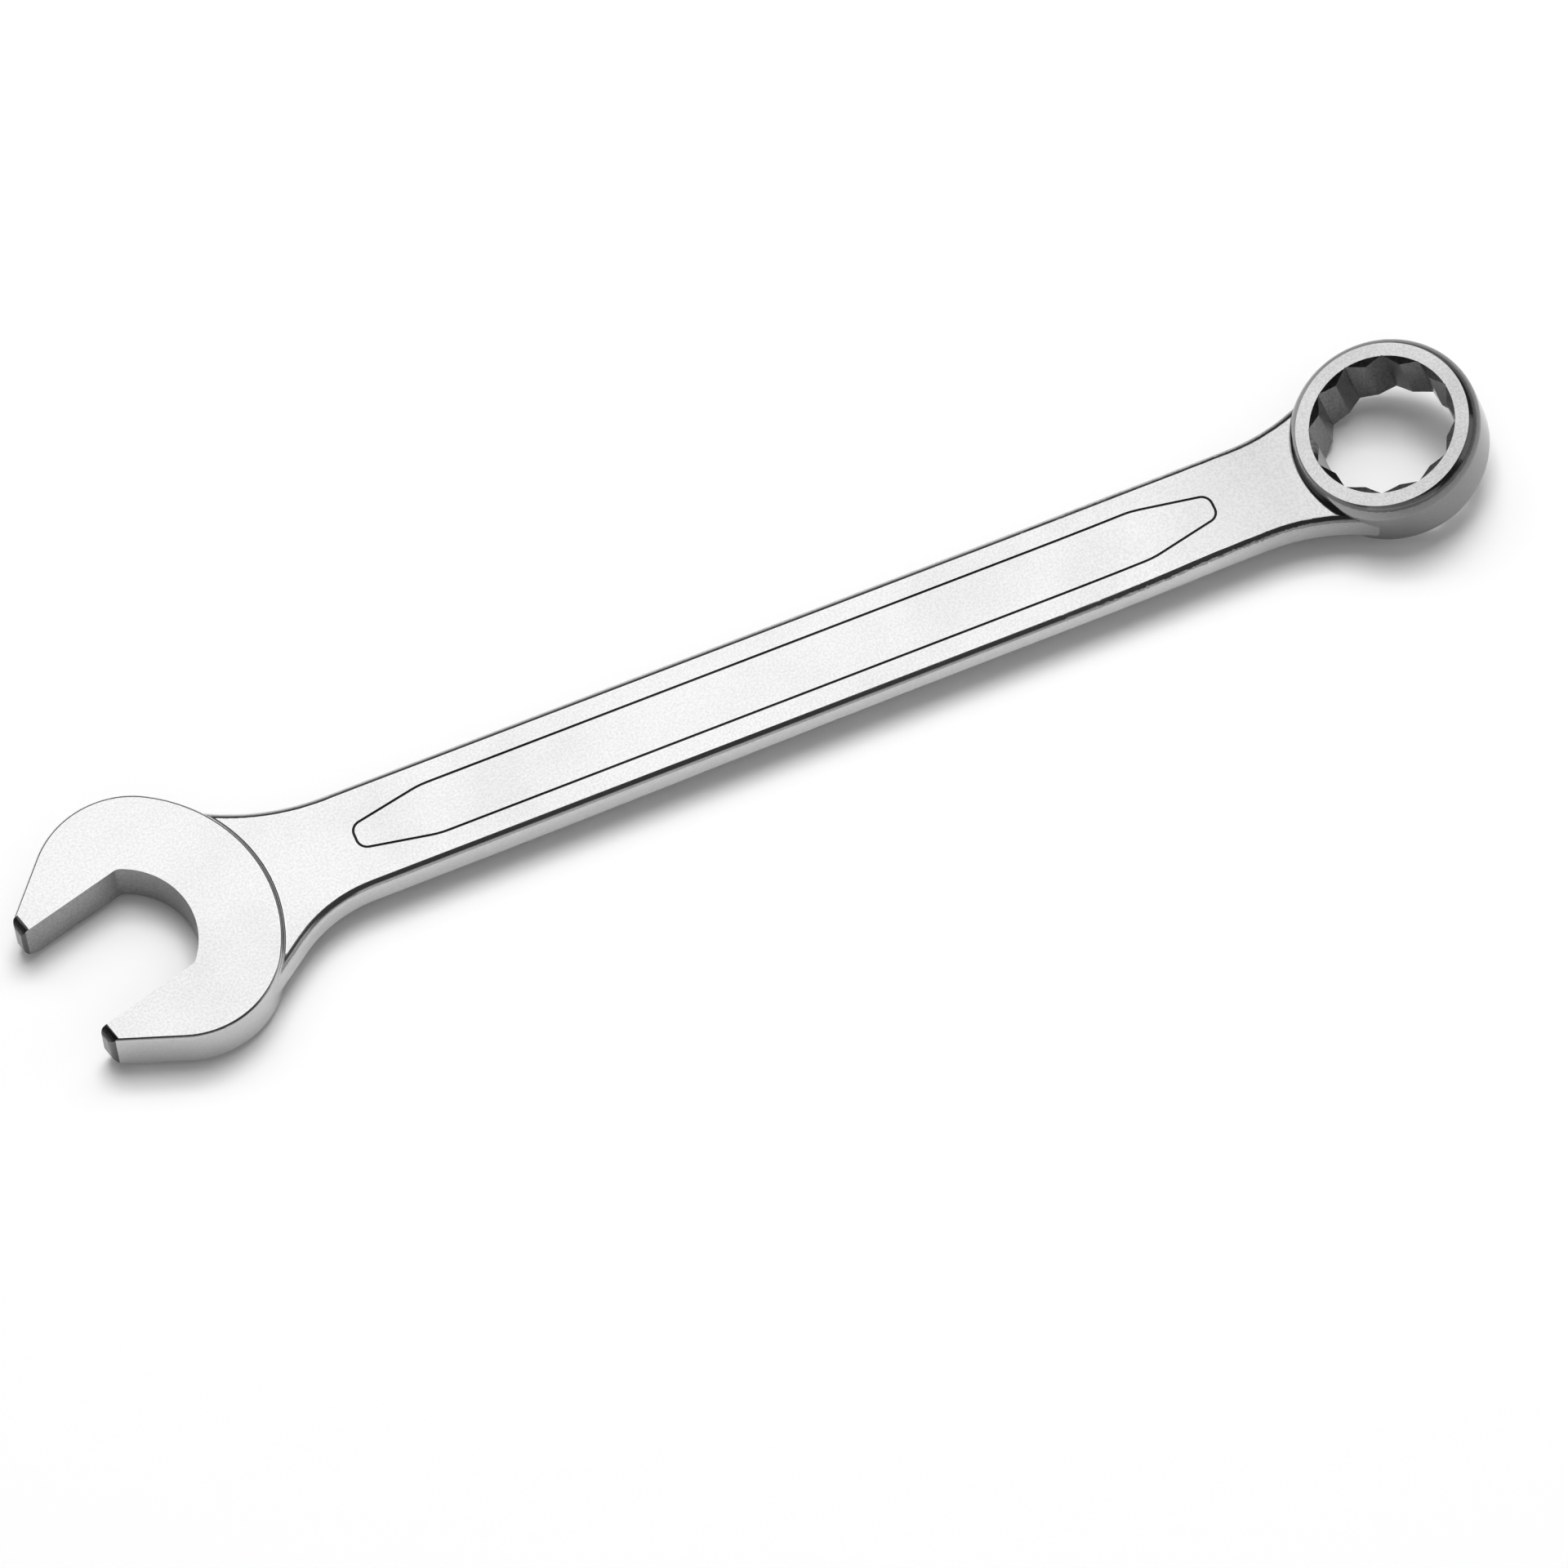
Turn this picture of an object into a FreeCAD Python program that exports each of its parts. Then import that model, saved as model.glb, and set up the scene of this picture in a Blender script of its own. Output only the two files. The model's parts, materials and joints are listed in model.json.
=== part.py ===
import FreeCAD, Part

import math
import os

Vec = FreeCAD.Vector

# A combination wrench for 17 mm nuts, in millimetres: one steel forging with an open jaw at one end,
# a flat shank, and a 12-point ring at the other end. Its three regions are separate solids that meet
# face to face: open_end_head, shank and ring_end_head. The open end keeps the flare that joins it to the
# shank, and the shank stops at the ring's own surface.
#
# While it is built, X runs along the shank from the jaw to the ring, Y across it, and Z is up from the
# shank's mid-plane. X = 0 is where the jaw's centre line crosses the shank's. At the end everything is
# moved so that the origin is at the middle of the footprint, at the height of the lowest edge.

# Driving dimensions.
JAW_GAP = 17.1                # between the jaw's two flat faces
SOCKET_SIZE = 17.1            # across the flats of the 12-point socket
JAW_TURN = 15.0               # degrees from the shank's line to the jaw's line, seen from above
RING_TILT = 15.0              # degrees that the ring's far side is raised
HEAD_SPACING = 172.4          # jaw centre to ring centre, along the shank

# Open end, in the jaw's own axes: "along" its centre line towards the shank, "across" it.
HEAD_THICKNESS = 7.4
HEAD_STEP = 1.0               # height of the head's top face over the shank's
JAW_TIP = -17.8               # along: the two noses
JAW_BACK = 1.7                # along: the deepest point of the throat
THROAT_RADIUS = 10.5
THROAT_CORNER_RADIUS = 1.5
CHEEK_RADIUS = 12.6           # the two large arcs of the head's outline
CHEEK_ALONG = -2.56
CHEEK_ACROSS = 6.1
CHEEK_SLOPE = 35.3            # degrees from the jaw's line to the straight outside of each jaw
HEAD_BACK = 12.5              # along: where the head's back arc crosses the jaw's line
NOSE_OUTER_RADIUS = 1.5
NOSE_INNER_RADIUS = 0.7
LIP_DEPTH = 0.6               # how far that rounding reaches in from the tips
NOSE_FACE_RADIUS = 1.2        # from the nose's front over to the top face
NOSE_UNDER_RADIUS = 2.4       # and to the underside
HEAD_EDGE_RADIUS = 0.4
HEAD_CREASE_RADIUS = 0.55     # hollow where the shank runs into the head
HEAD_END_X = 25.0             # where the open end stops and the shank starts

# Shank.
SHANK_WIDTH = 15.1
SHANK_THICKNESS = 4.9         # at the open end
SHANK_THINNING = 1.0          # how much the underside rises towards the ring
THINNING_START_X = 30.0
THINNING_END_X = 115.0
SHANK_RISE = 0.8              # step up of both faces just before the ring
RISE_START_X = 122.0
RISE_END_X = 158.0
SHANK_EDGE_RADIUS = 1.1
FAR_FLARE_RADIUS = 30.5       # from the shank's +Y side towards the open head
FAR_FLARE_X = 23.6            # where that flare starts
NEAR_FLARE_RADIUS = 18.5      # from the shank's -Y side towards the open head
NEAR_FLARE_X = 24.8
FLARE_OVERLAP = 0.2           # how far both flares run into the head's cheeks
NECK_WIDTH = 14.6             # the narrowest place, just before the ring
NECK_X = 151.9
NECK_TAPER = 24.0             # length of the taper from the full width down to the neck

# Outlined panel on the shank's two flat faces.
PANEL_START = 25.3
PANEL_END = 146.9
PANEL_WIDTH = 7.55
PANEL_TAPER = 10.3            # length of the narrowing at each end
PANEL_TIP_WIDTH = 3.4
PANEL_TIP_RADIUS = 1.5
PANEL_BEND_RADIUS = 12.0      # where the sides bend into the narrowing
PANEL_LINE_WIDTH = 0.35
PANEL_LINE_DEPTH = 0.15

# Ring end, in the ring's own axes.
RING_THICKNESS = 10.5
RING_RADIUS = 12.85
RING_FACE_RADIUS = 11.62      # outside of the flat annulus on each side
RING_SHOULDER_RADIUS = 2.6    # between that annulus and the wall
RING_LIFT = 2.86              # height of the ring's centre over the shank's mid-plane
POINTS = 12
SOCKET_PHASE = 5.0            # degrees from the shank's line to the first point of the socket
MOUTH_RADIUS = 9.78           # the socket's countersink, at each face
MOUTH_ANGLE = 60.0            # degrees from the socket's axis to the countersink's wall


def polar(radius, degrees):
    return Vec(radius * math.cos(math.radians(degrees)), radius * math.sin(math.radians(degrees)), 0)


def line(start, end):
    return Part.LineSegment(start, end).toShape()


def arc(centre, radius, start, end):
    """The shorter arc from start to end on a circle about centre."""
    middle = (start - centre) + (end - centre)
    middle.normalize()
    return Part.Arc(start, centre + middle * radius, end).toShape()


def prism(edges, thickness):
    """A plate with its mid-plane at Z = 0."""
    plate = Part.Face(Part.Wire(edges)).extrude(Vec(0, 0, thickness))
    plate.translate(Vec(0, 0, -thickness / 2))
    return plate


def across(edges):
    """A side view in the XZ plane, drawn out along Y to both sides."""
    width = 4 * SHANK_WIDTH
    body = Part.Face(Part.Wire(edges)).extrude(Vec(0, width, 0))
    body.translate(Vec(0, -width / 2, 0))
    return body


def s_curve(start, end):
    """From start to end, level at both, for outlines and side views that run along X."""
    middle_x = (start.x + end.x) / 2
    curve = Part.BezierCurve()
    curve.setPoles([start, Vec(middle_x, start.y, start.z), Vec(middle_x, end.y, end.z), end])
    return curve.toShape()


def turned(shape_or_point):
    """From the jaw's axes to the shank's."""
    if isinstance(shape_or_point, FreeCAD.Vector):
        return FreeCAD.Rotation(Vec(0, 0, 1), JAW_TURN).multVec(shape_or_point)
    shape_or_point.rotate(Vec(0, 0, 0), Vec(0, 0, 1), JAW_TURN)
    return shape_or_point


def mirrored(point):
    return Vec(point.x, -point.y, point.z)


def vertical_edges_at(shape, points):
    """The edges parallel to Z that pass through the given points of the plan."""
    def is_wanted(edge):
        ends = [vertex.Point for vertex in edge.Vertexes]
        if len(ends) < 2 or abs(ends[0].x - ends[1].x) + abs(ends[0].y - ends[1].y) > 1e-6:
            return False
        return any(math.hypot(ends[0].x - p.x, ends[0].y - p.y) < 1e-4 for p in points)
    return [edge for edge in shape.Edges if is_wanted(edge)]


# Open end.

def back_arc():
    """Centre and radius of the head's back arc, which is tangent to both cheek arcs."""
    reach = HEAD_BACK - CHEEK_RADIUS
    offset = (CHEEK_ALONG ** 2 + CHEEK_ACROSS ** 2 - reach ** 2) / (2 * (reach - CHEEK_ALONG))
    return Vec(-offset, 0, 0), HEAD_BACK + offset


def head_points():
    """Corners of the upper half of the head's outline, from the back arc round to the jaw's nose."""
    cheek = Vec(CHEEK_ALONG, CHEEK_ACROSS, 0)
    back_centre, back_radius = back_arc()
    towards = cheek - back_centre
    towards.normalize()
    back_end = back_centre + towards * back_radius
    cheek_end = cheek + polar(CHEEK_RADIUS, 90 + CHEEK_SLOPE)
    drop = (cheek_end.x - JAW_TIP) * math.tan(math.radians(CHEEK_SLOPE))
    nose_outer = Vec(JAW_TIP, cheek_end.y - drop, 0)
    return cheek, back_end, cheek_end, nose_outer


def head_outline():
    """The head as if it had no jaw: both cheeks, the back arc and a straight front."""
    cheek, back_end, cheek_end, nose_outer = head_points()
    back_centre, back_radius = back_arc()
    return [
        arc(back_centre, back_radius, mirrored(back_end), back_end),
        arc(cheek, CHEEK_RADIUS, back_end, cheek_end),
        line(cheek_end, nose_outer),
        line(nose_outer, mirrored(nose_outer)),
        line(mirrored(nose_outer), mirrored(cheek_end)),
        arc(mirrored(cheek), CHEEK_RADIUS, mirrored(cheek_end), mirrored(back_end)),
    ]


def throat_corner():
    """Where the throat's arc meets a jaw face."""
    centre_along = JAW_BACK - THROAT_RADIUS
    return Vec(centre_along + math.sqrt(THROAT_RADIUS ** 2 - (JAW_GAP / 2) ** 2), JAW_GAP / 2, 0)


def jaw_opening():
    """The space between the jaws: the throat's arc, its rounded corners, and a mouth with rounded lips."""
    corner = throat_corner()
    lip_centre = Vec(JAW_TIP + LIP_DEPTH, JAW_GAP / 2 + NOSE_INNER_RADIUS, 0)
    lip_end = lip_centre - Vec(0, NOSE_INNER_RADIUS, 0)
    lip_front = lip_centre - Vec(NOSE_INNER_RADIUS, 0, 0)
    front = Vec(2 * JAW_TIP, lip_front.y, 0)
    lip = arc(lip_centre, NOSE_INNER_RADIUS, lip_front, lip_end)
    upper = [line(front, lip_front), lip, line(lip_end, corner)]
    lower = [edge.mirror(Vec(0, 0, 0), Vec(0, 1, 0)) for edge in upper[::-1]]
    throat = arc(Vec(JAW_BACK - THROAT_RADIUS, 0, 0), THROAT_RADIUS, corner, mirrored(corner))
    opening = prism([*upper, throat, *lower, line(mirrored(front), front)], 2 * HEAD_THICKNESS)
    corners = vertical_edges_at(opening, [corner, mirrored(corner)])
    return opening.makeFillet(THROAT_CORNER_RADIUS, corners)


def head_blank():
    return prism(head_outline(), HEAD_THICKNESS)


def nose_profile():
    """The head's side view, with its front end rounded over to both flat faces, more so underneath."""
    half = HEAD_THICKNESS / 2
    back = -2 * JAW_TIP
    above = Vec(JAW_TIP + NOSE_FACE_RADIUS, 0, half - NOSE_FACE_RADIUS)
    below = Vec(JAW_TIP + NOSE_UNDER_RADIUS, 0, NOSE_UNDER_RADIUS - half)
    top_start = Vec(above.x, 0, half)
    front_top = Vec(JAW_TIP, 0, above.z)
    front_low = Vec(JAW_TIP, 0, below.z)
    low_start = Vec(below.x, 0, -half)
    edges = [
        line(Vec(back, 0, half), top_start),
        arc(above, NOSE_FACE_RADIUS, top_start, front_top),
        line(front_top, front_low),
        arc(below, NOSE_UNDER_RADIUS, front_low, low_start),
        line(low_start, Vec(back, 0, -half)),
        line(Vec(back, 0, -half), Vec(back, 0, half)),
    ]
    return across(edges)


def in_place(head):
    """From the head's own axes to its place on the shank."""
    head = turned(head)
    head.translate(Vec(0, 0, SHANK_THICKNESS / 2 + HEAD_STEP - HEAD_THICKNESS / 2))
    return head


def jaw_head():
    """The head with its jaw, as it stands on the end of the shank."""
    _, _, _, nose_outer = head_points()
    head = head_blank()
    corners = [nose_outer, mirrored(nose_outer)]
    head = head.makeFillet(NOSE_OUTER_RADIUS, vertical_edges_at(head, corners))
    head = head.makeFillet(HEAD_EDGE_RADIUS, edges_over(head, head_outline()))
    return in_place(head.common(nose_profile()).cut(jaw_opening()))


def edges_over(shape, plan_edges):
    """The edges along a plate's two broad faces that lie over or under the given lines of its plan."""
    def is_wanted(edge):
        box = edge.BoundBox
        if math.hypot(box.XLength, box.YLength) < 1e-3:
            return False
        middle = edge.valueAt((edge.FirstParameter + edge.LastParameter) / 2)
        below = Part.Vertex(Vec(middle.x, middle.y, 0))
        return any(below.distToShape(wanted)[0] < 1e-3 for wanted in plan_edges)
    return [edge for edge in shape.Edges if is_wanted(edge)]


# Shank.

def flare(side, radius, start_x):
    """From the shank's side (+1 or -1): an arc outwards, then a line that just runs into the cheek."""
    centre = Vec(start_x, side * (SHANK_WIDTH / 2 + radius), 0)
    cheek = turned(Vec(CHEEK_ALONG, side * CHEEK_ACROSS, 0))
    cheek_reach = CHEEK_RADIUS - FLARE_OVERLAP
    apart = centre - cheek
    lean = math.degrees(math.acos((radius + cheek_reach) / apart.Length))
    normal = polar(1, math.degrees(math.atan2(apart.y, apart.x)) + side * lean)
    start = Vec(start_x, side * SHANK_WIDTH / 2, 0)
    arc_end = centre - normal * radius
    line_end = cheek + normal * cheek_reach
    return [arc(centre, radius, start, arc_end), line(arc_end, line_end)], start, line_end


def neck():
    """Centre, radius and end of the +Y arc that runs from the neck into the ring's wall."""
    run = HEAD_SPACING - NECK_X
    half = NECK_WIDTH / 2
    radius = (run ** 2 + half ** 2 - RING_RADIUS ** 2) / (2 * (RING_RADIUS - half))
    centre = Vec(NECK_X, half + radius, 0)
    towards = Vec(HEAD_SPACING, 0, 0) - centre
    towards.normalize()
    return centre, radius, centre + towards * radius


def side_line(side):
    """One side of the shank from the open head's flare to the ring: straight, taper, neck arc."""
    centre, radius, end = neck()
    start = Vec(NECK_X, NECK_WIDTH / 2, 0)
    full = Vec(NECK_X - NECK_TAPER, SHANK_WIDTH / 2, 0)
    edges = [s_curve(full, start), arc(centre, radius, start, end)]
    if side < 0:
        edges = [edge.mirror(Vec(0, 0, 0), Vec(0, 1, 0)) for edge in edges]
    return edges, Vec(full.x, side * full.y, 0), Vec(end.x, side * end.y, 0)


def shank_profile():
    """The shank's side view: flat on top, thinner towards the ring, and raised where it meets it."""
    half = SHANK_THICKNESS / 2
    start_x = -2 * HEAD_BACK
    end_x = HEAD_SPACING
    low = SHANK_THINNING - half
    edges = [
        line(Vec(start_x, 0, half), Vec(RISE_START_X, 0, half)),
        s_curve(Vec(RISE_START_X, 0, half), Vec(RISE_END_X, 0, half + SHANK_RISE)),
        line(Vec(RISE_END_X, 0, half + SHANK_RISE), Vec(end_x, 0, half + SHANK_RISE)),
        line(Vec(end_x, 0, half + SHANK_RISE), Vec(end_x, 0, low)),
        line(Vec(end_x, 0, low), Vec(THINNING_END_X, 0, low)),
        s_curve(Vec(THINNING_END_X, 0, low), Vec(THINNING_START_X, 0, -half)),
        line(Vec(THINNING_START_X, 0, -half), Vec(start_x, 0, -half)),
        line(Vec(start_x, 0, -half), Vec(start_x, 0, half)),
    ]
    return across(edges)


def panel_outline():
    """The outline of the panel as a tall frame, as wide as the groove."""
    half = PANEL_WIDTH / 2
    tip = PANEL_TIP_WIDTH / 2
    upper = [Vec(PANEL_START, tip, 0), Vec(PANEL_START + PANEL_TAPER, half, 0),
             Vec(PANEL_END - PANEL_TAPER, half, 0), Vec(PANEL_END, tip, 0)]
    corners = upper + [mirrored(point) for point in upper[::-1]]
    panel = prism([line(a, b) for a, b in zip(corners, corners[1:] + corners[:1])], 2 * SHANK_THICKNESS)
    tips = [upper[0], upper[3], mirrored(upper[0]), mirrored(upper[3])]
    bends = [upper[1], upper[2], mirrored(upper[1]), mirrored(upper[2])]
    panel = panel.makeFillet(PANEL_TIP_RADIUS, vertical_edges_at(panel, tips))
    panel = panel.makeFillet(PANEL_BEND_RADIUS, vertical_edges_at(panel, bends))
    base = min(panel.Faces, key=lambda face: face.CenterOfMass.z)
    outside = base.makeOffset2D(PANEL_LINE_WIDTH / 2)
    inside = base.makeOffset2D(-PANEL_LINE_WIDTH / 2)
    return outside.cut(inside).extrude(Vec(0, 0, 2 * SHANK_THICKNESS))


def panel_grooves():
    """The groove round the panel on each broad face, of even depth although the faces aren't flat."""
    outline = panel_outline()
    sunk = shank_profile()
    sunk.translate(Vec(0, 0, -PANEL_LINE_DEPTH))
    raised = shank_profile()
    raised.translate(Vec(0, 0, PANEL_LINE_DEPTH))
    core = sunk.common(raised)
    return outline.cut(core)


def shank_blank():
    """The shank as a plate that runs on into both heads."""
    far_flare, far_start, far_end = flare(1, FAR_FLARE_RADIUS, FAR_FLARE_X)
    near_flare, near_start, near_end = flare(-1, NEAR_FLARE_RADIUS, NEAR_FLARE_X)
    far_edges, far_full, far_ring = side_line(1)
    near_edges, near_full, near_ring = side_line(-1)
    inside_head_far = turned(Vec(2 * JAW_BACK, CHEEK_ACROSS, 0))
    inside_head_near = turned(Vec(2 * JAW_BACK, -CHEEK_ACROSS, 0))
    inside_ring_far = Vec(HEAD_SPACING - RING_RADIUS / 2, far_ring.y, 0)
    inside_ring_near = Vec(HEAD_SPACING - RING_RADIUS / 2, near_ring.y, 0)
    far_side = [*far_flare[::-1], line(far_start, far_full), *far_edges]
    near_side = [*near_edges[::-1], line(near_full, near_start), *near_flare]
    plate = prism([
        line(inside_head_far, far_end),
        *far_side,
        line(far_ring, inside_ring_far),
        line(inside_ring_far, inside_ring_near),
        line(inside_ring_near, near_ring),
        *near_side,
        line(near_end, inside_head_near),
        line(inside_head_near, inside_head_far),
    ], 4 * SHANK_THICKNESS)
    bar = plate.common(shank_profile())
    return bar.makeFillet(SHANK_EDGE_RADIUS, edges_over(bar, far_side + near_side))


def crease(body, first, second):
    """The edges of body that lie on the surfaces of both shapes that it was joined from."""
    def on_both(edge):
        span = edge.LastParameter - edge.FirstParameter
        points = [Part.Vertex(edge.valueAt(edge.FirstParameter + t * span)) for t in (0.2, 0.5, 0.8)]
        shells = (first.Shells[0], second.Shells[0])
        return all(point.distToShape(shell)[0] < 1e-4 for point in points for shell in shells)
    return [edge for edge in body.Edges if on_both(edge)]


def joined(first, second, radius):
    """Both shapes as one, with a hollow of the given radius where their surfaces meet."""
    body = first.fuse(second).removeSplitter()
    return body.makeFillet(radius, crease(body, first, second))


def slab(start_x, end_x):
    """All of the space between two planes across the wrench."""
    size = 4 * HEAD_SPACING
    return Part.makeBox(end_x - start_x, size, size, Vec(start_x, -size / 2, -size / 2))


def forging():
    """The open end and the shank as one, still without the ring and the panel."""
    return joined(shank_blank(), jaw_head(), HEAD_CREASE_RADIUS)


def open_end_head(whole):
    return whole.common(slab(-2 * HEAD_SPACING, HEAD_END_X))


def shank(whole):
    body = whole.common(slab(HEAD_END_X, 2 * HEAD_SPACING))
    body = body.cut(tilted(ring_blank()))
    return body.cut(panel_grooves())


# Ring end.

def tilted(shape):
    """From the ring's own axes to its place at the end of the shank."""
    shape.rotate(Vec(0, 0, 0), Vec(0, 1, 0), -RING_TILT)
    shape.translate(Vec(HEAD_SPACING, 0, RING_LIFT))
    return shape


def ring_blank():
    """The ring with no socket, turned from its half section."""
    half = RING_THICKNESS / 2
    inset = RING_RADIUS - RING_SHOULDER_RADIUS
    rise = math.sqrt(RING_SHOULDER_RADIUS ** 2 - (RING_FACE_RADIUS - inset) ** 2)
    shoulder = half - rise
    edges = [
        line(Vec(0, 0, -half), Vec(RING_FACE_RADIUS, 0, -half)),
        arc(Vec(inset, 0, -shoulder), RING_SHOULDER_RADIUS,
            Vec(RING_FACE_RADIUS, 0, -half), Vec(RING_RADIUS, 0, -shoulder)),
        line(Vec(RING_RADIUS, 0, -shoulder), Vec(RING_RADIUS, 0, shoulder)),
        arc(Vec(inset, 0, shoulder), RING_SHOULDER_RADIUS,
            Vec(RING_RADIUS, 0, shoulder), Vec(RING_FACE_RADIUS, 0, half)),
        line(Vec(RING_FACE_RADIUS, 0, half), Vec(0, 0, half)),
        line(Vec(0, 0, half), Vec(0, 0, -half)),
    ]
    return Part.Face(Part.Wire(edges)).revolve(Vec(0, 0, 0), Vec(0, 0, 1), 360)


def socket():
    """The 12-point hole: two hexagons, one turned half a step, with a countersink at each mouth."""
    tip = SOCKET_SIZE / math.sqrt(3)
    root = SOCKET_SIZE / 2 / math.cos(math.radians(180 / POINTS))
    step = 180 / POINTS
    corners = [polar(tip if i % 2 == 0 else root, SOCKET_PHASE + i * step) for i in range(2 * POINTS)]
    sides = [line(a, b) for a, b in zip(corners, corners[1:] + corners[:1])]
    hole = prism(sides, 2 * RING_THICKNESS)
    half = RING_THICKNESS / 2
    depth = MOUTH_RADIUS / math.tan(math.radians(MOUTH_ANGLE))
    for side in (1, -1):
        mouth = Part.makeCone(0, MOUTH_RADIUS, depth, Vec(0, 0, side * (half - depth)), Vec(0, 0, side))
        hole = hole.fuse(mouth)
    return hole


def ring_end_head():
    return tilted(ring_blank().cut(socket()))


def main():
    whole = forging()
    nodes = {"open_end_head": open_end_head(whole), "shank": shank(whole), "ring_end_head": ring_end_head()}
    box = FreeCAD.BoundBox()
    for shape in nodes.values():
        box.add(shape.optimalBoundingBox(False))
    to_origin = Vec(-box.Center.x, -box.Center.y, -box.ZMin)
    os.makedirs("parts", exist_ok=True)
    for name, shape in nodes.items():
        shape.translate(to_origin)
        shape.exportStep("parts/" + name + ".step")


main()
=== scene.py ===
import json
import math

import bmesh
import bpy
from mathutils import Matrix, Vector


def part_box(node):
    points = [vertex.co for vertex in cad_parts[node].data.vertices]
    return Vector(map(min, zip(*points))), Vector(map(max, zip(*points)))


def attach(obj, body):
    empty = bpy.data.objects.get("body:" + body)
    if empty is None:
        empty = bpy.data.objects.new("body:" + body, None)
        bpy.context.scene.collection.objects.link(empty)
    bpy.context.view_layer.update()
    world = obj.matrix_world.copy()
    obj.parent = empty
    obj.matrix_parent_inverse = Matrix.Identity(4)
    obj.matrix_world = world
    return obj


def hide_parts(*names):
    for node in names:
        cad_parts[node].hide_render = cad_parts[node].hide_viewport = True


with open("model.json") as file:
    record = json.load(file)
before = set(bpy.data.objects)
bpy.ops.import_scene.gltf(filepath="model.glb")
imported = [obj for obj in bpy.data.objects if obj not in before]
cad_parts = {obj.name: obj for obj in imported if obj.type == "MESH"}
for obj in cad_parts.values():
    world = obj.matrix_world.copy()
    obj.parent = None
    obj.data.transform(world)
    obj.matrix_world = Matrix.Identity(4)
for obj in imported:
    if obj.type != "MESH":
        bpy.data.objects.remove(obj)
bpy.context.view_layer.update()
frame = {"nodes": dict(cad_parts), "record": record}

MM = 0.001

WELD_DISTANCE = 0.002 * MM
SHARP_ANGLE = math.radians(24)    # edges that turn more than this are shaded sharp

# Plating and cut finishes, some with painted shade and one with a painted dark reflection. pitted is the
# share of the colour left in the pits, gloss the lowest and highest roughness, grain the fineness along x, y
# and z in 1/m, and relief the strength of its bumps.
# painted_shade says where the colour darkens towards the ring as painted shade: start and end in mm past the
# ring's first point, and the share of the colour left at the end.
# SATIN and POLISHED grow darker towards the ring as painted shade.
SATIN = dict(colour=(0.525, 0.52, 0.525), pitted=0.87, gloss=(0.12, 0.20), grain=(3600, 3600, 3600),
             relief=0.45, painted_shade=(-26, -4, 0.80))
POLISHED = dict(colour=(0.55, 0.545, 0.55), pitted=0.90, gloss=(0.10, 0.18), grain=(700, 700, 6000),
                relief=0.25, painted_shade=(-16, 10, 0.34))
# Jaw's inner walls: a cut finish whose dark colour is partly painted shade of the recess.
MILLED_WITH_SHADE = dict(colour=(0.30, 0.295, 0.30), pitted=0.70, gloss=(0.16, 0.28), grain=(400, 400, 5000),
              relief=0.40, painted_shade=None)
# The jaw's rounded tips: a painted dark reflection in the colour.
TIP_PAINTED_DARK_REFLECTION = dict(colour=(0.08, 0.078, 0.08), pitted=0.70, gloss=(0.16, 0.28), grain=(3600, 3600, 3600),
                relief=0.40, painted_shade=None)
# Socket bore: a cut finish whose dark colour is partly painted shade of the recess.
BROACHED_WITH_SHADE = dict(colour=(0.15, 0.145, 0.15), pitted=0.50, gloss=(0.16, 0.30), grain=(4500, 4500, 300),
                relief=0.60, painted_shade=None)
# The panel line's groove: its near-black colour is painted shade.
PANEL_LINE_PAINTED_SHADE = dict(colour=(0.045, 0.044, 0.045), pitted=0.70, gloss=(0.40, 0.60), grain=(3600, 3600, 3600),
                relief=0.30, painted_shade=None)
PIT_SCALE = 3000                  # in 1/m
GLOSS_SCALE = 70
RELIEF_DEPTH = 0.01 * MM

# Which CAD face gets which finish.
PANEL_LINE_REACH = 4.3 * MM       # the panel's line stays this close to the shank's middle
PANEL_LINE_AREA = 110 * MM ** 2   # its faces are smaller than this
TIP_LENGTH = 2.7 * MM             # the jaw's tips, measured back from their fronts, where a dark reflection is painted
LEVEL = 0.9                       # smallest upward part of the normal of a broad face
UPRIGHT = 0.1                     # largest upward part of the normal of a wall
ALONG_AXIS = 0.99                 # smallest part along the ring's axis of the normal of its flat faces

# Lights: azimuth and elevation in degrees (azimuth 0 is on the +Y side, 90 on the +X side), distance,
# width and depth in m, radiance, and whether it can be seen in reflections.
SOFTBOXES = {
    "main": (20.7, 62.5, 1.6, 2.2, 0.58, 1.85, True),
    "front": (200.7, 28, 1.6, 2.0, 0.7, 0.4, True),
    "left": (290.7, 35, 1.6, 1.0, 0.7, 0.2, True),
    "right": (110.7, 35, 1.6, 1.0, 0.7, 0.5, True),
    "table_key": (20.7, 77, 1.6, 0.7, 0.7, 10.9, False),
    "table_fill": (200, 80, 1.5, 2.2, 2.2, 0.5, False),
}
WALL_LIGHT = 0.50
WALL_TOP = 0.26                   # sine of the elevation up to which the room's walls are fully lit
CEILING_LIGHT = 0.06
CEILING_START = 0.42              # sine of the elevation from which the room is dark
FLOOR_COLOUR = (0.88, 0.88, 0.88, 1)
FLOOR_REACH = 4.0

CAMERA_PLACE = Vector((-0.1782, -0.4695, 0.9773))
CAMERA_TURN = (math.radians(24.80), math.radians(-10.20), math.radians(-25.43))
CAMERA_LENS = 192.2


# Materials.

def add_node(tree, kind, **inputs):
    """A shader node with its inputs set by name; a socket given as a value is linked."""
    node = tree.nodes.new(kind)
    for name, value in inputs.items():
        socket = node.inputs[name.replace("_", " ")]
        if isinstance(value, bpy.types.NodeSocket):
            tree.links.new(value, socket)
        else:
            socket.default_value = value
    return node


def remap(tree, value, start, end, low, high):
    """The value's range start..end turned into low..high."""
    node = add_node(tree, "ShaderNodeMapRange", Value=value, From_Min=start, From_Max=end,
                    To_Min=low, To_Max=high)
    return node.outputs["Result"]


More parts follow.
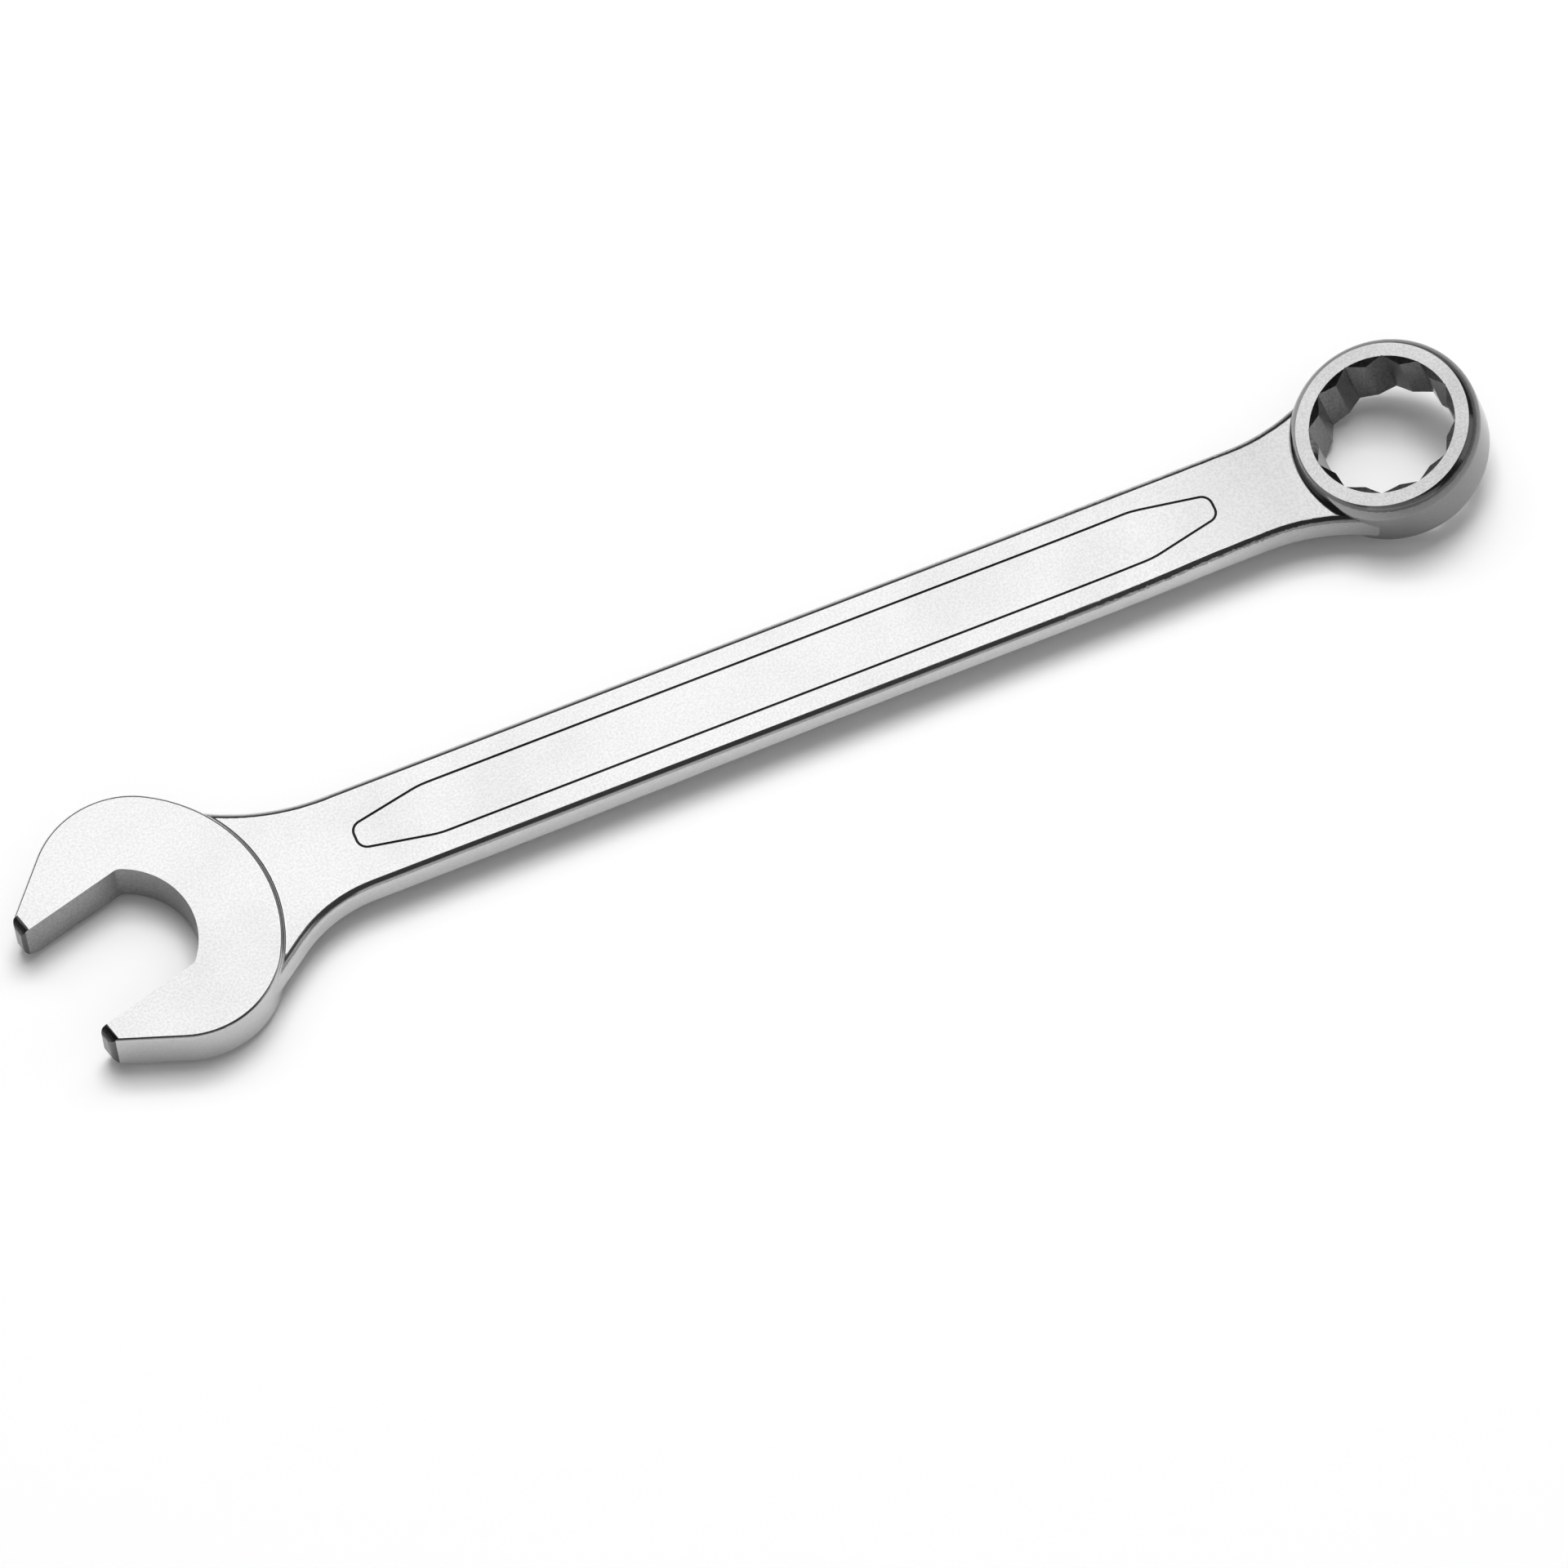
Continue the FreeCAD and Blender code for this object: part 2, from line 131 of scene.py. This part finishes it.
def noise(tree, place, scale, detail, roughness):
    node = add_node(tree, "ShaderNodeTexNoise", Vector=place, Scale=scale, Detail=detail,
                    Roughness=roughness)
    return node.outputs["Fac"]


def object_place(tree, scale=(1, 1, 1)):
    """Object coordinates, stretched per axis."""
    place = tree.nodes.new("ShaderNodeTexCoord").outputs["Object"]
    mapping = add_node(tree, "ShaderNodeMapping", Vector=place, Scale=scale)
    return mapping.outputs["Vector"]


def tinted(tree, factor, colour, share):
    """The colour, multiplied by share where the factor is 0 and by 1 where it is 1."""
    node = tree.nodes.new("ShaderNodeMix")
    node.data_type = "RGBA"
    tree.links.new(factor, node.inputs["Factor"])
    node.inputs[6].default_value = (*[part * share for part in colour], 1)
    node.inputs[7].default_value = (*colour, 1)
    return node.outputs[2]


def with_painted_shade(tree, colour, painted_shade):
    """The colour with painted shade: darker along the wrench towards the ring where its painted_shade entry
    says so.
    """
    if painted_shade is None:
        return colour
    start, end, share = painted_shade
    ring_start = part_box("ring_end_head")[0].x
    along = add_node(tree, "ShaderNodeSeparateXYZ", Vector=object_place(tree)).outputs["X"]
    # painted shade: the colour darkens towards the ring
    shade_share = remap(tree, along, ring_start + start * MM, ring_start + end * MM, 1.0, share)
    node = tree.nodes.new("ShaderNodeVectorMath")
    node.operation = "SCALE"
    tree.links.new(colour, node.inputs[0])
    tree.links.new(shade_share, node.inputs["Scale"])
    return node.outputs[0]


def steel(name, finish):
    """Plated or cut steel: fine pits, a grain, uneven gloss and the painted shade its finish asks for."""
    material = bpy.data.materials.new(name)
    material.use_nodes = True
    tree = material.node_tree
    shader = tree.nodes["Principled BSDF"]
    grain = noise(tree, object_place(tree, finish["grain"]), 1.0, 3.0, 0.6)
    pits = noise(tree, object_place(tree), PIT_SCALE, 2.0, 0.5)
    clouds = noise(tree, object_place(tree), GLOSS_SCALE, 3.0, 0.5)
    depth = add_node(tree, "ShaderNodeMath", Value=remap(tree, pits, 0.38, 0.60, 0.0, 0.8))
    depth.operation = "ADD"
    depth.use_clamp = True
    tree.links.new(remap(tree, grain, 0.30, 0.70, -0.1, 0.3), depth.inputs[1])
    tint = tinted(tree, depth.outputs[0], finish["colour"], finish["pitted"])
    tree.links.new(with_painted_shade(tree, tint, finish["painted_shade"]), shader.inputs["Base Color"])
    tree.links.new(remap(tree, clouds, 0.35, 0.65, *finish["gloss"]), shader.inputs["Roughness"])
    shader.inputs["Metallic"].default_value = 1.0
    relief = add_node(tree, "ShaderNodeBump", Strength=finish["relief"], Distance=RELIEF_DEPTH, Height=grain)
    tree.links.new(relief.outputs["Normal"], shader.inputs["Normal"])
    return material


def pale_floor():
    """A matt white table top with a hint of paper grain."""
    material = bpy.data.materials.new("pale_floor")
    material.use_nodes = True
    tree = material.node_tree
    shader = tree.nodes["Principled BSDF"]
    shader.inputs["Base Color"].default_value = FLOOR_COLOUR
    shader.inputs["Roughness"].default_value = 0.9
    shader.inputs["Specular IOR Level"].default_value = 0.1
    fibre = noise(tree, object_place(tree), 900, 3.0, 0.6)
    relief = add_node(tree, "ShaderNodeBump", Strength=0.05, Distance=0.02 * MM, Height=fibre)
    tree.links.new(relief.outputs["Normal"], shader.inputs["Normal"])
    return material


# Surface of the wrench, welded from the CAD nodes.

def patch_from(first, patch, number):
    """Gives that number to every face joined to the first one, and returns those faces."""
    first[patch] = number
    found = [first]
    for face in found:
        for near in (other for edge in face.edges for other in edge.link_faces):
            if not near[patch]:
                near[patch] = number
                found.append(near)
    return found


def number_cad_faces(body):
    """Numbers the separate patches of an unwelded CAD mesh: {number: its faces}."""
    patch = body.faces.layers.int.new("cad_face")
    patches = {}
    for face in body.faces:
        if not face[patch]:
            number = len(patches) + 1
            patches[number] = patch_from(face, patch, number)
    return patch, patches


def is_flat(faces):
    return all(face.normal.dot(faces[0].normal) > 0.99999 for face in faces)


def corner_normal(face, vertex, patch, flat):
    """The true surface normal of face at vertex: that of a flat face it runs into, or a mean."""
    if face[patch] in flat:
        return face.normal
    near = [f for f in vertex.link_faces if f.normal.angle(face.normal, 0) < SHARP_ANGLE]
    level = [f for f in near if f[patch] in flat]
    if level:
        return min(level, key=lambda f: f.normal.angle(face.normal, 0)).normal
    total = Vector()
    for f in near:
        total += f.normal * f.calc_area()
    return total.normalized()


def plated_piece(node, finishes, choose):
    """A welded, smooth-shaded copy of a CAD node; choose gives the finish for each CAD face."""
    body = bmesh.new()
    body.from_mesh(frame["nodes"][node].data)
    patch, patches = number_cad_faces(body)
    flat = {number for number, faces in patches.items() if is_flat(faces)}
    for faces in patches.values():
        index = choose(faces)
        for face in faces:
            face.material_index = index
    bmesh.ops.remove_doubles(body, verts=body.verts, dist=WELD_DISTANCE)
    body.normal_update()
    normals = [
        corner_normal(face, corner.vert, patch, flat) for face in body.faces for corner in face.loops
    ]
    for face in body.faces:
        face.smooth = True
    body.faces.layers.int.remove(patch)
    mesh = bpy.data.meshes.new(node + "_plated")
    body.to_mesh(mesh)
    body.free()
    for extra in ("custom_normal", "sharp_face", "sharp_edge"):
        if extra in mesh.attributes:
            mesh.attributes.remove(mesh.attributes[extra])
    mesh.normals_split_custom_set(normals)
    for finish in finishes:
        mesh.materials.append(finish)
    piece = bpy.data.objects.new(node + "_plated", mesh)
    bpy.context.scene.collection.objects.link(piece)
    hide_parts(node)
    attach(piece, "root")


def mount(name):
    """Place and axis of one of the record's mounts."""
    found = next(m for m in frame["record"]["mounts"] if m["name"] == name)
    return Vector(found["pos_m"]), Vector(found["axis"])


def middle(faces):
    """Mean place of some faces, by area."""
    area = sum(face.calc_area() for face in faces)
    return sum((face.calc_center_median() * face.calc_area() for face in faces), Vector()) / area


def jaw_front():
    """How far the jaw's tips reach along the opening's axis."""
    forward = mount("jaw_opening")[1]
    return max(vertex.co.dot(forward) for vertex in frame["nodes"]["open_end_head"].data.vertices)


def choose_on_head(faces):
    """0 for the broad faces, 1 for the outer wall and rounded edges, 2 inside the jaw (cut finish darkened
    with painted shade), 3 at its tips (painted dark reflection).
    """
    if min(abs(face.normal.z) for face in faces) > LEVEL:
        return 0
    opening, forward = mount("jaw_opening")
    rearmost = min(vertex.co.dot(forward) for face in faces for vertex in face.verts)
    if rearmost > jaw_front() - TIP_LENGTH:
        return 3
    inwards = opening - middle(faces)
    inwards.z = 0
    upright = max(abs(face.normal.z) for face in faces) < UPRIGHT
    return 2 if upright and faces[0].normal.dot(inwards) > 0 else 1


def choose_on_shank(faces):
    """0 for the broad faces, 1 for the sides and rounded edges (with painted shade towards the ring), 2 for
    the line round the panel (painted shade in its groove).
    """
    axis_y = mount("ring_socket")[0].y
    reach = max(abs(vertex.co.y - axis_y) for face in faces for vertex in face.verts)
    if reach < PANEL_LINE_REACH and sum(face.calc_area() for face in faces) < PANEL_LINE_AREA:
        return 2
    return 0 if min(abs(face.normal.z) for face in faces) > LEVEL else 1


def choose_on_ring(faces):
    """0 for the two flat faces, 1 for the wall (with painted shade), 2 for the socket (cut finish darkened
    with painted shade).
    """
    centre, axis = mount("ring_socket")
    if is_flat(faces) and abs(faces[0].normal.dot(axis)) > ALONG_AXIS:
        return 0
    outwards = faces[0].calc_center_median() - centre
    outwards -= axis * outwards.dot(axis)
    return 1 if faces[0].normal.dot(outwards) > 0 else 2


# Stage, light and camera.

def floor():
    """A wide flat table top under the wrench."""
    mesh = bpy.data.meshes.new("floor")
    sheet = bmesh.new()
    bmesh.ops.create_grid(sheet, x_segments=4, y_segments=4, size=FLOOR_REACH)
    sheet.to_mesh(mesh)
    sheet.free()
    mesh.materials.append(pale_floor())
    top = bpy.data.objects.new("floor", mesh)
    bpy.context.scene.collection.objects.link(top)


def softbox(name, azimuth, elevation, distance, width, depth, radiance, in_reflections):
    """A rectangular light that faces the wrench."""
    turn, lift = math.radians(azimuth), math.radians(elevation)
    level = distance * math.cos(lift)
    place = Vector((level * math.sin(turn), level * math.cos(turn), distance * math.sin(lift)))
    light = bpy.data.lights.new(name, "AREA")
    light.shape = "RECTANGLE"
    light.size = width
    light.size_y = depth
    light.energy = radiance * math.pi * width * depth
    lamp = bpy.data.objects.new(name, light)
    bpy.context.scene.collection.objects.link(lamp)
    lamp.matrix_world = Matrix.Translation(place) @ (-place).to_track_quat("-Z", "Y").to_matrix().to_4x4()
    lamp.visible_glossy = in_reflections


def room():
    """Pale walls near the horizon under a dark ceiling."""
    world = bpy.data.worlds.new("room")
    world.use_nodes = True
    tree = world.node_tree
    direction = tree.nodes.new("ShaderNodeTexCoord").outputs["Generated"]
    height = add_node(tree, "ShaderNodeSeparateXYZ", Vector=direction).outputs["Z"]
    background = tree.nodes["Background"]
    background.inputs["Color"].default_value = (1, 1, 1, 1)
    light = remap(tree, height, WALL_TOP, CEILING_START, WALL_LIGHT, CEILING_LIGHT)
    tree.links.new(light, background.inputs["Strength"])
    return world


def studio():
    """A softbox behind and above the wrench, low ones on the other sides, and a dim room."""
    for name, setting in SOFTBOXES.items():
        softbox(name, *setting)
    bpy.context.scene.world = room()


def camera():
    data = bpy.data.cameras.new("camera")
    data.lens = CAMERA_LENS
    data.sensor_width = 36
    data.clip_start = 0.05
    data.clip_end = 50
    eye = bpy.data.objects.new("camera", data)
    bpy.context.scene.collection.objects.link(eye)
    eye.location = CAMERA_PLACE
    eye.rotation_mode = "ZXY"
    eye.rotation_euler = CAMERA_TURN
    bpy.context.scene.camera = eye


# satin and polished chrome carry painted shade towards the ring
satin = steel("satin_chrome", SATIN)
polished = steel("polished_chrome", POLISHED)
# jaw's inner walls: cut finish darkened with painted shade
milled_with_shade = steel("milled_jaw_painted_shade", MILLED_WITH_SHADE)
# the jaw's tips: chrome with a painted dark reflection
tips = steel("tips_painted_dark_reflection", TIP_PAINTED_DARK_REFLECTION)
# socket bore: cut finish darkened with painted shade
broached_with_shade = steel("broached_socket_painted_shade", BROACHED_WITH_SHADE)
# panel line: painted shade in the groove
panel_line_shade = steel("panel_line_painted_shade", PANEL_LINE_PAINTED_SHADE)
plated_piece("open_end_head", (satin, polished, milled_with_shade, tips), choose_on_head)
plated_piece("shank", (satin, polished, panel_line_shade), choose_on_shank)
plated_piece("ring_end_head", (satin, polished, broached_with_shade), choose_on_ring)
floor()
studio()
camera()
bpy.context.scene.view_settings.view_transform = "Standard"
